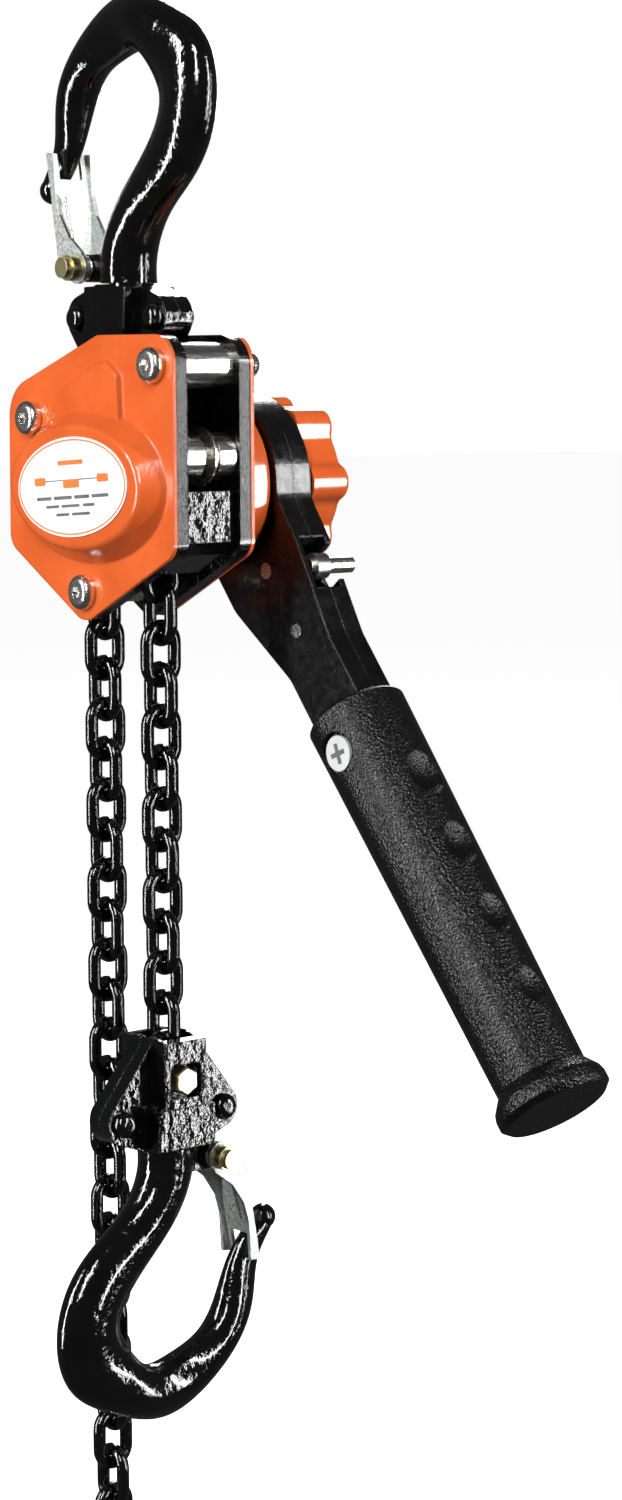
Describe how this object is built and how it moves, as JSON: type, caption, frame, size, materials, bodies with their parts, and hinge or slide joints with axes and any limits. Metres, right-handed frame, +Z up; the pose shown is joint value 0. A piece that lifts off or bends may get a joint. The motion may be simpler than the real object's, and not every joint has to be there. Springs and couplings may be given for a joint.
{
  "type": "lever chain hoist",
  "caption": "Small lever chain hoist: plate body with oval gear cover, ratchet lever with round grip, handwheel, load chain, and top and bottom swivel hooks with latches.",
  "frame": {"origin": "centre of the top hook's bowl", "axes": "+Z up along the hanging line, +Y along the drive axis from the gear cover to the handwheel, +X to the side of the load fall and the lever"},
  "size_m": [0.2367, 0.1253, 0.5957],
  "materials": {
    "black_enamel": "gloss",
    "orange_enamel": "gloss",
    "bright_steel": "satin",
    "zinc_sheet": "satin",
    "yellow_zinc": "satin",
    "machined_steel": "satin",
    "lever_black": "satin",
    "grip_plastic": "grained",
    "lining": "matt",
    "label_foil": "satin"
  },
  "bodies": {
    "frame": {"front_side_plate": "black_enamel", "rear_side_plate": "black_enamel", "gear_cover": "orange_enamel", "rating_label": "label_foil", "brake_cover": "orange_enamel", "stay_bolts": "bright_steel", "stay_spacers": "bright_steel", "dome_nuts": "bright_steel", "guide_roller_pin": "bright_steel", "top_pin": "machined_steel", "sheave_bushes": "yellow_zinc", "chain_guide_left": "black_enamel", "chain_guide_right": "black_enamel", "wrapped_chain": "black_enamel", "brake_pawl_1": "machined_steel", "brake_pawl_2": "machined_steel", "brake_pawl_pins": "machined_steel"},
    "guide_roller": {"guide_roller": "bright_steel"},
    "top_yoke": {"top_yoke_front": "black_enamel", "top_yoke_rear": "black_enamel", "top_yoke_rivets": "black_enamel"},
    "top_hook": {"top_hook": "black_enamel", "top_latch_rivet": "yellow_zinc"},
    "top_latch": {"top_latch": "zinc_sheet", "top_latch_spring": "bright_steel"},
    "sheave": {"load_sheave": "machined_steel", "load_gear": "machined_steel"},
    "disc_gear_left": {"disc_gear_left": "machined_steel"},
    "disc_gear_right": {"disc_gear_right": "machined_steel"},
    "drive": {"pinion_shaft": "machined_steel", "disc_hub": "machined_steel", "friction_discs": "lining", "ratchet_disc": "machined_steel", "change_gear": "machined_steel", "handwheel": "orange_enamel", "shaft_nut": "bright_steel"},
    "lever": {"lever_shell_front": "lever_black", "lever_shell_rear": "lever_black", "lever_fasteners": "bright_steel", "grip": "grip_plastic", "grip_screws": "bright_steel"},
    "selector": {"selector_pawl": "machined_steel", "selector_pin": "bright_steel"},
    "load_link": {"load_link_upper": "black_enamel"},
    "load_fall": {"load_chain": "black_enamel"},
    "bottom_yoke": {"load_end_link": "black_enamel", "bottom_yoke_left": "black_enamel", "bottom_yoke_right": "black_enamel", "bottom_yoke_rivets": "black_enamel", "chain_pin": "bright_steel", "chain_pin_nut": "yellow_zinc"},
    "bottom_hook": {"bottom_hook": "black_enamel", "bottom_latch_rivet": "yellow_zinc"},
    "bottom_latch": {"bottom_latch": "zinc_sheet", "bottom_latch_spring": "bright_steel"},
    "tail_link": {"tail_link_upper": "black_enamel"},
    "tail_fall": {"tail_chain_upper": "black_enamel"},
    "tail_end": {"tail_chain_lower": "black_enamel", "chain_end_ring": "bright_steel"}
  },
  "joints": [
    {"name": "top_hook_tilt", "type": "hinge", "parent": "frame", "child": "top_yoke", "pos_m": [0, 0, -0.086], "axis": [0, 1, 0], "range_deg": [-10, 10]},
    {"name": "top_hook_swivel", "type": "hinge", "parent": "top_yoke", "child": "top_hook", "pos_m": [0, 0, 0], "axis": [0, 0, 1], "continuous": true},
    {"name": "top_latch_open", "type": "hinge", "parent": "top_hook", "child": "top_latch", "pos_m": [-0.0195, 0, -0.054], "axis": [0, 1, 0], "range_deg": [0, 35], "stiffness_Nm_per_rad": 0.05},
    {"name": "lever_turn", "type": "hinge", "parent": "frame", "child": "lever", "pos_m": [0, 0.0495, -0.132], "axis": [0, 1, 0], "continuous": true},
    {"name": "selector_rock", "type": "hinge", "parent": "lever", "child": "selector", "pos_m": [0.02608, 0.0495, -0.16364], "axis": [0, 1, 0], "range_deg": [-12, 12]},
    {"name": "sheave_turn", "type": "hinge", "parent": "frame", "child": "sheave", "pos_m": [0, 0, -0.132], "axis": [0, 1, 0], "continuous": true},
    {"name": "disc_gear_left_turn", "type": "hinge", "parent": "frame", "child": "disc_gear_left", "pos_m": [-0.0192, -0.018, -0.132], "axis": [0, 1, 0], "continuous": true},
    {"name": "disc_gear_right_turn", "type": "hinge", "parent": "frame", "child": "disc_gear_right", "pos_m": [0.0192, -0.018, -0.132], "axis": [0, 1, 0], "continuous": true},
    {"name": "drive_turn", "type": "hinge", "parent": "frame", "child": "drive", "pos_m": [0, 0.03, -0.132], "axis": [0, 1, 0], "continuous": true},
    {"name": "guide_roller_turn", "type": "hinge", "parent": "frame", "child": "guide_roller", "pos_m": [0.0395, 0, -0.121], "axis": [0, 1, 0], "continuous": true},
    {"name": "load_link_swing", "type": "hinge", "parent": "frame", "child": "load_link", "pos_m": [0.01694, 0, -0.172], "axis": [0, 1, 0], "range_deg": [-12, 1]},
    {"name": "load_fall_swing", "type": "hinge", "parent": "load_link", "child": "load_fall", "pos_m": [0.01694, 0, -0.187], "axis": [1, 0, 0], "range_deg": [-12, 12]},
    {"name": "bottom_block_swing", "type": "hinge", "parent": "load_fall", "child": "bottom_yoke", "pos_m": [0.01694, 0, -0.337], "axis": [1, 0, 0], "range_deg": [-15, 15]},
    {"name": "bottom_hook_swivel", "type": "hinge", "parent": "bottom_yoke", "child": "bottom_hook", "pos_m": [0.01694, 0, -0.4325], "axis": [0, 0, 1], "range_deg": [-18, 18]},
    {"name": "bottom_latch_open", "type": "hinge", "parent": "bottom_hook", "child": "bottom_latch", "pos_m": [0.01694, 0.0195, -0.3785], "axis": [-1, 0, 0], "range_deg": [0, 35], "stiffness_Nm_per_rad": 0.05},
    {"name": "tail_link_swing", "type": "hinge", "parent": "frame", "child": "tail_link", "pos_m": [-0.01694, 0, -0.172], "axis": [0, 1, 0], "range_deg": [-1, 12]},
    {"name": "tail_fall_swing", "type": "hinge", "parent": "tail_link", "child": "tail_fall", "pos_m": [-0.01694, 0, -0.187], "axis": [1, 0, 0], "range_deg": [-12, 12]},
    {"name": "tail_end_swing", "type": "hinge", "parent": "tail_fall", "child": "tail_end", "pos_m": [-0.01694, 0, -0.352], "axis": [0, 1, 0], "range_deg": [-3, 18]}
  ],
  "couplings": [
    {"joint": "disc_gear_left_turn", "follows": "sheave_turn", "ratio": -3},
    {"joint": "disc_gear_right_turn", "follows": "sheave_turn", "ratio": -3},
    {"joint": "drive_turn", "follows": "sheave_turn", "ratio": 6.6}
  ]
}
